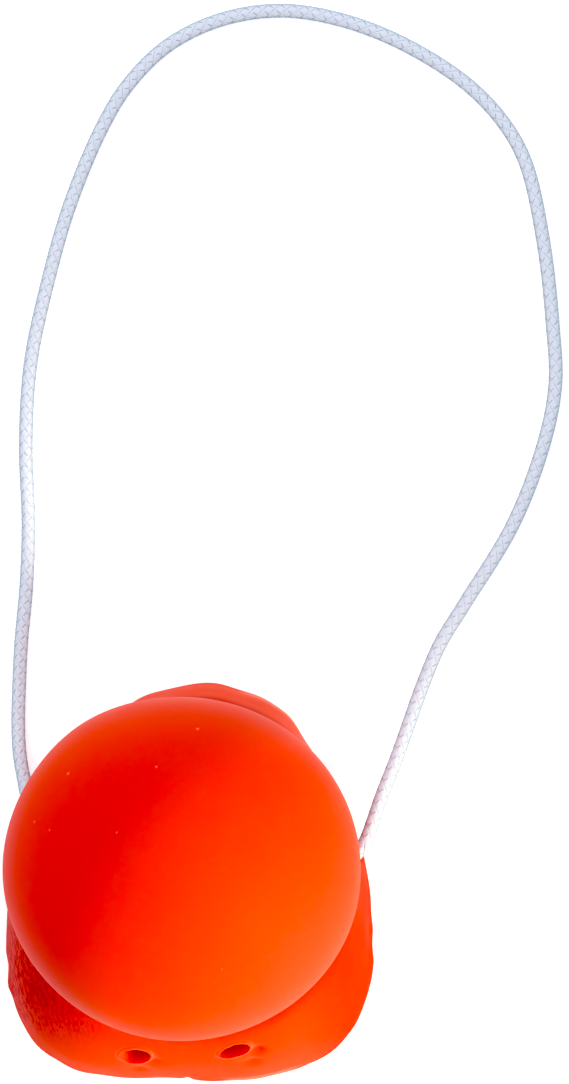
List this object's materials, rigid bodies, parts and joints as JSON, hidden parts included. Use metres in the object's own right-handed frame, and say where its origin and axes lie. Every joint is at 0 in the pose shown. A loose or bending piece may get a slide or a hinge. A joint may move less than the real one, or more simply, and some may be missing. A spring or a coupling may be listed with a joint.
{
  "type": "clown nose",
  "caption": "Hollow latex clown nose: a ball on a flared nose-shaped base with nostril holes, worn on a loop of round elastic knotted through its sides.",
  "frame": {"origin": "on the surface that the rim rests on, under the middle of the base", "axes": "+X across the face to the wearer's left, +Y up the face to the bridge of the nose, +Z out of the face through the ball"},
  "size_m": [0.0823, 0.1586, 0.052],
  "materials": {
    "latex": "satin cast latex, red-orange, slightly soft sheen",
    "elastic": "matte white braided round elastic"
  },
  "bodies": {
    "root": {"nose_shell": "latex", "elastic_cord": "elastic", "knot_left": "elastic", "knot_right": "elastic"}
  },
  "joints": []
}
